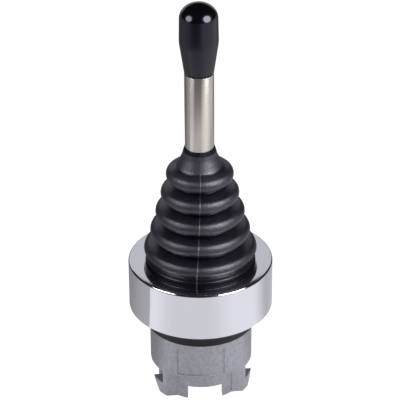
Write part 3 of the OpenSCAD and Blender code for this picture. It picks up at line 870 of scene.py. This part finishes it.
for i in range(FOLDS):
    above = inner_valleys[i - 1] if i > 0 else Vector((collar_bore_r, collar_foot.y))
    below = inner_valleys[i] if i < FOLDS - 1 else Vector((skirt_r - RUBBER_T, flange_z))
    inside += fold_edge(middles[i], FOLD_R - RUBBER_T, below, above)[::-1]
    if i < FOLDS - 1:
        inside.append(tuple(inner_valleys[i]))
inside += [
    (skirt_r - RUBBER_T, last_fold_z - INNER_SKIRT_DROP),
    (skirt_r - RUBBER_T, boot_foot_z),
]
section = outside + inside
hollows += [0.0] * len(inside)
# The section is swept round a circle, whose points are gathered near the two parting lines, lifted there
# into a ridge, and twisted, so that the lines lean.
SWEEP_R = 8.0
ROUND_STEPS = 240
GATHER_STEPS = 2.5
LINE_STEPS = 0.5
PARTING_TURN = math.radians(-9.8)
PARTING_ARC = math.radians(0.64)
PARTING_H = 0.06
BOOT_TWIST = math.radians(6.5)
boot = new_piece("boot_moulded", [], [], neoprene)
count = len(section)
boot.data.from_pydata(
    [((r - SWEEP_R) * MM, -z * MM, 0) for r, z in section],
    [(i, (i + 1) % count) for i in range(count)],
    [],
)
in_sight = [1.0 if flange_z < z and i < len(outside) else 0.0 for i, (r, z) in enumerate(section)]
for name, values in (("hollow", hollows), ("outer", in_sight)):
    boot.data.attributes.new(name, "FLOAT", "POINT").data.foreach_set("value", values)
bellows = bpy.data.node_groups.new("turned bellows", "GeometryNodeTree")
for name, kind in (
    ("Section", "Geometry"),
    ("Sweep Radius", "Float"),
    ("Round Steps", "Int"),
    ("Parting Turn", "Float"),
    ("Parting Arc", "Float"),
    ("Parting Height", "Float"),
    ("Twist", "Float"),
):
    bellows.interface.new_socket(name, in_out="INPUT", socket_type="NodeSocket" + kind)
bellows.interface.new_socket("Geometry", in_out="OUTPUT", socket_type="NodeSocketGeometry")
sizes = add(bellows, "NodeGroupInput")
circle = add(bellows, "GeometryNodeCurvePrimitiveCircle", {
    "Resolution": sizes.outputs["Round Steps"],
    "Radius": sizes.outputs["Sweep Radius"],
})
number = add(bellows, "GeometryNodeInputIndex")
quarter = add(bellows, "ShaderNodeMath", {0: sizes.outputs["Round Steps"], 1: 0.25}, operation="MULTIPLY")
minus = add(bellows, "ShaderNodeMath", {0: quarter.outputs[0], 1: -1.0}, operation="MULTIPLY")
from_line = add(bellows, "ShaderNodeMath", {
    0: number.outputs["Index"],
    1: quarter.outputs[0],
    2: minus.outputs[0],
}, operation="WRAP")
distance = add(bellows, "ShaderNodeMath", {0: from_line.outputs[0]}, operation="ABSOLUTE")
close = add(bellows, "ShaderNodeMath", {0: distance.outputs[0], 1: GATHER_STEPS}, operation="LESS_THAN")
on_line = add(bellows, "ShaderNodeMath", {0: distance.outputs[0], 1: LINE_STEPS}, operation="LESS_THAN")
even_arc = add(bellows, "ShaderNodeMath", {
    0: 2 * math.pi,
    1: sizes.outputs["Round Steps"],
}, operation="DIVIDE")
pull = add(bellows, "ShaderNodeMath", {
    0: sizes.outputs["Parting Arc"],
    1: even_arc.outputs[0],
}, operation="SUBTRACT")
pulled = add(bellows, "ShaderNodeMath", {0: from_line.outputs[0], 1: pull.outputs[0]}, operation="MULTIPLY")
gathered = add(bellows, "ShaderNodeMath", {0: pulled.outputs[0], 1: close.outputs[0]}, operation="MULTIPLY")
start = add(bellows, "ShaderNodeMath", {
    0: sizes.outputs["Parting Turn"],
    1: math.pi / 2,
}, operation="SUBTRACT")
turn = add(bellows, "ShaderNodeMath", {0: gathered.outputs[0], 1: start.outputs[0]}, operation="ADD")
spot = add(bellows, "GeometryNodeInputPosition")
moved = add(bellows, "ShaderNodeVectorRotate", {
    "Vector": spot.outputs["Position"],
    "Angle": turn.outputs[0],
}, rotation_type="Z_AXIS")
path = add(bellows, "GeometryNodeSetPosition", {
    "Geometry": circle.outputs["Curve"],
    "Position": moved.outputs["Vector"],
})
marked = add(bellows, "GeometryNodeStoreNamedAttribute", {
    "Geometry": path.outputs["Geometry"],
    "Name": "on_line",
    "Value": on_line.outputs[0],
})
outline = add(bellows, "GeometryNodeMeshToCurve", {"Mesh": sizes.outputs["Section"]})
swept = add(bellows, "GeometryNodeCurveToMesh", {
    "Curve": marked.outputs["Geometry"],
    "Profile Curve": outline.outputs["Curve"],
})
line = add(bellows, "GeometryNodeInputNamedAttribute", {"Name": "on_line"})
outer = add(bellows, "GeometryNodeInputNamedAttribute", {"Name": "outer"})
ridge = add(bellows, "ShaderNodeMath", {
    0: line.outputs["Attribute"],
    1: outer.outputs["Attribute"],
}, operation="MULTIPLY")
lined = add(bellows, "GeometryNodeStoreNamedAttribute", {
    "Geometry": swept.outputs["Mesh"],
    "Name": "parting_line",
    "Value": ridge.outputs[0],
})
level = add(bellows, "ShaderNodeVectorMath", {
    0: spot.outputs["Position"],
    1: (1, 1, 0),
}, operation="MULTIPLY")
outward = add(bellows, "ShaderNodeVectorMath", {0: level.outputs["Vector"]}, operation="NORMALIZE")
height = add(bellows, "ShaderNodeMath", {
    0: ridge.outputs[0],
    1: sizes.outputs["Parting Height"],
}, operation="MULTIPLY")
lift = add(bellows, "ShaderNodeVectorMath", {
    0: outward.outputs["Vector"],
    "Scale": height.outputs[0],
}, operation="SCALE")
ridged = add(bellows, "GeometryNodeSetPosition", {
    "Geometry": lined.outputs["Geometry"],
    "Offset": lift.outputs["Vector"],
})
spot_axes = add(bellows, "ShaderNodeSeparateXYZ", {"Vector": spot.outputs["Position"]})
wrung = add(bellows, "ShaderNodeMapRange", {
    "Value": spot_axes.outputs["Z"],
    "From Min": bezel_top_z * MM,
    "From Max": collar_z * MM,
    "To Max": sizes.outputs["Twist"],
})
spun = add(bellows, "ShaderNodeVectorRotate", {
    "Vector": spot.outputs["Position"],
    "Angle": wrung.outputs["Result"],
}, rotation_type="Z_AXIS")
twisted = add(bellows, "GeometryNodeSetPosition", {
    "Geometry": ridged.outputs["Geometry"],
    "Position": spun.outputs["Vector"],
})
real = add(bellows, "GeometryNodeRealizeInstances", {"Geometry": twisted.outputs["Geometry"]})
surface = add(bellows, "GeometryNodeSetMaterial", {
    "Geometry": real.outputs["Geometry"],
    "Material": neoprene,
}).outputs["Geometry"]
# Painted shade: the skirt and the collar's lip get the matt copy, which reflects far less.
for low_z, high_z in (
    (0.0, skirt_bead_z - SKIRT_BEAD_R),
    (skirt_bead_z + SKIRT_BEAD_R, skirt_top.y),
    (collar_z - COLLAR_LIP_H + LIP_EDGE_H / 2, collar_z + COLLAR_LIP_H),
):
    above = add(bellows, "ShaderNodeMath", {
        0: spot_axes.outputs["Z"],
        1: low_z * MM,
    }, operation="GREATER_THAN")
    below = add(bellows, "ShaderNodeMath", {0: spot_axes.outputs["Z"], 1: high_z * MM}, operation="LESS_THAN")
    between = add(bellows, "ShaderNodeMath", {0: above.outputs[0], 1: below.outputs[0]}, operation="MULTIPLY")
    surface = add(bellows, "GeometryNodeSetMaterial", {
        "Geometry": surface,
        "Selection": between.outputs[0],
        "Material": matt_shaded_neoprene,
    }).outputs["Geometry"]
add(bellows, "NodeGroupOutput", {"Geometry": surface})
turning = boot.modifiers.new("turning", "NODES")
turning.node_group = bellows
values = {
    "Sweep Radius": SWEEP_R * MM,
    "Round Steps": ROUND_STEPS,
    "Parting Turn": PARTING_TURN,
    "Parting Arc": PARTING_ARC,
    "Parting Height": PARTING_H * MM,
    "Twist": BOOT_TWIST,
}
for socket in bellows.interface.items_tree:
    if socket.name in values:
        turning[socket.identifier] = values[socket.name]
moulded = boot.evaluated_get(bpy.context.evaluated_depsgraph_get())
boot.data = bpy.data.meshes.new_from_object(moulded)
boot.modifiers.clear()
solid = bmesh.new()
solid.from_mesh(boot.data)
bmesh.ops.recalc_face_normals(solid, faces=solid.faces)
solid.to_mesh(boot.data)
solid.free()
boot.data.shade_smooth()
boot.data.set_sharp_from_angle(angle=CREASE)
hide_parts("boot")
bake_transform(boot)

# Knob: a moulded phenolic grip with a domed top, screwed on the rod's stud by its brass insert.
# Phenolic is deep black with a satin shine, polished by use on the dome.
# Its grain is drawn 0.4 mm coarse, coarser than it is, so that it shows.
PHENOLIC_GRAIN = 0.4 * MM
POLISH_FOOT_Z = 60 * MM
POLISH_TOP_Z = 65 * MM
phenolic, tree, output = new_material("moulded phenolic")
place = add(tree, "ShaderNodeTexCoord")
grain = add(tree, "ShaderNodeTexNoise", {
    "Vector": place.outputs["Object"],
    "Scale": 1 / PHENOLIC_GRAIN,
    "Detail": 3.0,
})
skin = add(tree, "ShaderNodeBump", {"Height": grain.outputs["Fac"], "Strength": 0.12, "Distance": 0.02 * MM})
axes = add(tree, "ShaderNodeSeparateXYZ", {"Vector": place.outputs["Object"]})
handled = add(tree, "ShaderNodeMapRange", {
    "Value": axes.outputs["Z"],
    "From Min": POLISH_FOOT_Z,
    "From Max": POLISH_TOP_Z,
    "To Min": 0.3,
    "To Max": 0.16,
})
grip = add(tree, "ShaderNodeBsdfPrincipled", {
    "Base Color": linear("#040406"),
    "Roughness": handled.outputs["Result"],
    "Specular IOR Level": 0.47,
    "Specular Tint": linear("#e4e3fa"),
    "Normal": skin.outputs["Normal"],
})
tree.links.new(grip.outputs["BSDF"], output.inputs["Surface"])
low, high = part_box("knob")
knob_r = high.x / MM
knob_foot_z = low.z / MM
knob_top_z = high.z / MM
DOME_R = 7.52 / 2
KNOB_FOOT_R = 5.86 / 2
KNOB_FOOT_H = 0.35
KNOB_FOOT_CUT = 0.35
KNOB_TAPER_H = 6.65
DOME_H = 3.1
dome_z = knob_top_z - DOME_H
DOME_STEPS = 24
dome_turns = [math.pi / 2 * k / DOME_STEPS for k in range(DOME_STEPS + 1)]
dome = [(DOME_R * math.cos(t), dome_z + DOME_H * math.sin(t)) for t in dome_turns]
dome[-1] = (0, knob_top_z)
STUD_BORE_R = 4.03 / 2
PRESS_GAP = 0.015
low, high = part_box("knob_insert")
insert_bore_r = (high.x - low.x) / 2 / MM + PRESS_GAP
insert_room = [
    (0, high.z / MM),
    (insert_bore_r, high.z / MM),
    (insert_bore_r, low.z / MM),
    (STUD_BORE_R, low.z / MM),
    (STUD_BORE_R, knob_foot_z),
]
knob = turned("knob_moulded", rounded([
    (STUD_BORE_R, knob_foot_z, 0),
    (KNOB_FOOT_R - KNOB_FOOT_CUT, knob_foot_z, 0.05),
    (KNOB_FOOT_R, knob_foot_z + KNOB_FOOT_H, 0.2),
    (knob_r, knob_foot_z + KNOB_TAPER_H, 10.0),
    (DOME_R, dome_z, 0),
])[1:-1] + dome + insert_room, phenolic)
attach(knob, "lever")
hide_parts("knob")
